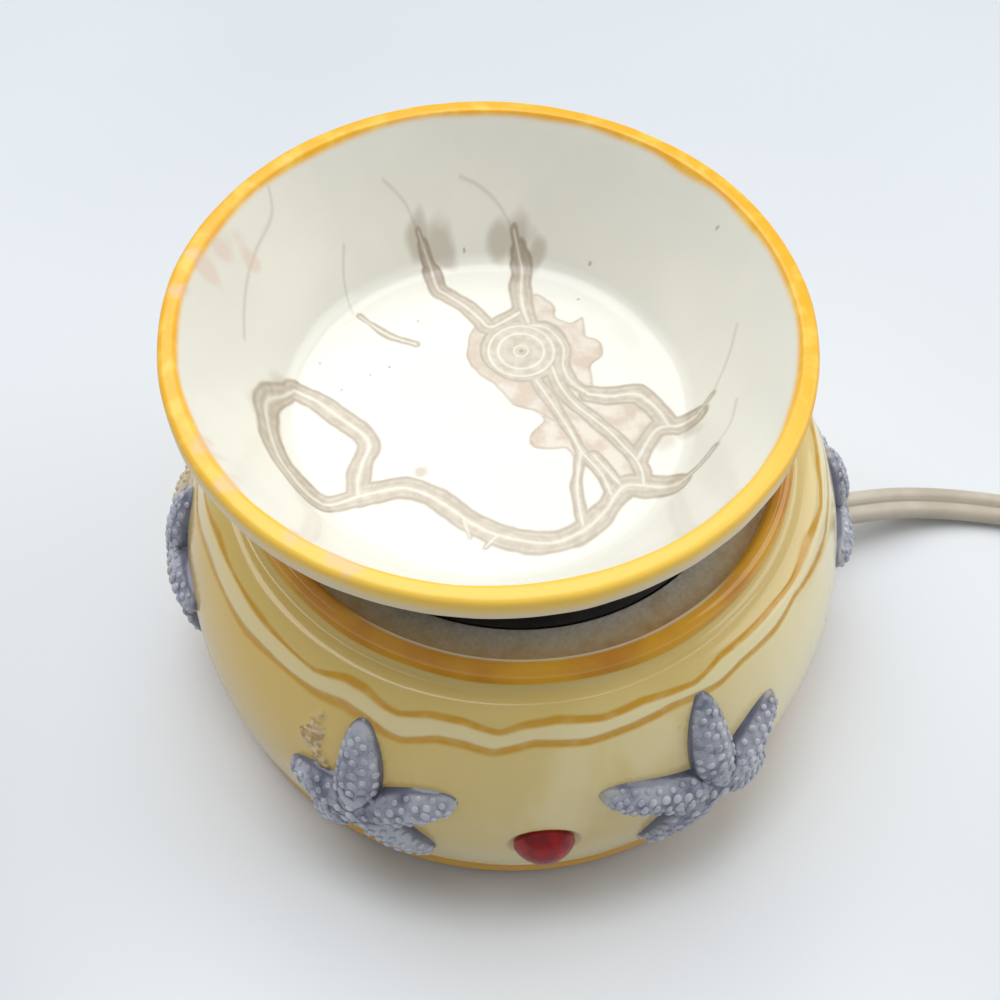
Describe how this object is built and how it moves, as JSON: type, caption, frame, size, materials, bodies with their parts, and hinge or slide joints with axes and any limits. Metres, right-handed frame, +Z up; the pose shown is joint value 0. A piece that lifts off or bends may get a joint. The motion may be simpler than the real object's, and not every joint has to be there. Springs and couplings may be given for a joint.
{
  "type": "wax melt warmer",
  "caption": "Round crackle-glazed ceramic wax melt warmer: pot-bellied body with cast starfish, electric hot plate, lift-off flared dish, indicator light, flat cord with roller switch and plug.",
  "frame": {"origin": "centre of the body's base, on the surface that the rubber feet stand on", "axes": "+Z up, along the body's axis of revolution; -Y is the front, where the indicator light is; the cord leaves towards +X"},
  "size_m": [0.3567, 0.1305, 0.0886],
  "materials": {
    "glazed_ceramic": "crackled gloss glaze over cast relief",
    "dish_ceramic": "crackled gloss glaze, amber at the rim",
    "black_plate": "black non-stick coat, satin",
    "gasket": "grey silicone",
    "element": "mica and resistance wire pack",
    "insulation": "pressed ceramic fibre",
    "zinc_steel": "zinc plated",
    "fuse": "tinned case",
    "copper": "brass",
    "base_board": "black powder coat",
    "foot_rubber": "matt",
    "red_lens": "clear red, glossy",
    "lamp_glass": "clear",
    "resistor": "matt",
    "wire_sleeve": "glass fibre sleeve",
    "cord_plastic": "off-white flexible plastic",
    "switch_plastic": "off-white moulded plastic"
  },
  "bodies": {
    "base": {"body_shell": "glazed_ceramic", "hot_plate": "black_plate", "plate_gasket": "gasket", "heating_element": "element", "insulation_disc": "insulation", "heat_shield": "zinc_steel", "bridge_bracket": "zinc_steel", "spring_washer": "zinc_steel", "stud_nut": "zinc_steel", "support_column": "zinc_steel", "fuse_clip": "zinc_steel", "fuse_rivets": "zinc_steel", "thermal_fuse": "fuse", "base_plate": "base_board", "rubber_feet": "foot_rubber", "base_screw": "zinc_steel", "indicator_lens": "red_lens", "lens_push_nut": "zinc_steel", "neon_lamp": "lamp_glass", "lamp_resistor": "resistor", "strain_relief": "cord_plastic", "butt_splices": "switch_plastic", "supply_wires": "wire_sleeve", "fuse_wires": "wire_sleeve", "return_wire": "wire_sleeve", "lamp_wires": "wire_sleeve", "cord_to_switch": "cord_plastic", "switch_base": "switch_plastic", "switch_cover": "switch_plastic", "switch_contacts": "copper", "switch_screws": "zinc_steel", "cord_to_coil": "cord_plastic", "cord_coil": "cord_plastic", "cord_to_plug": "cord_plastic", "plug_body": "cord_plastic", "plug_blades": "copper"},
    "dish": {"dish": "dish_ceramic"},
    "switch_roller": {"switch_wheel": "switch_plastic"}
  },
  "joints": [
    {"name": "dish_lift", "type": "slide", "parent": "base", "child": "dish", "axis": [0, 0, 1], "range_m": [0, 0.06]},
    {"name": "switch_turn", "type": "hinge", "parent": "base", "child": "switch_roller", "pos_m": [0.16218, -0.01565, 0.0112], "axis": [0.5446, 0.8387, 0], "range_deg": [0, 50]}
  ]
}
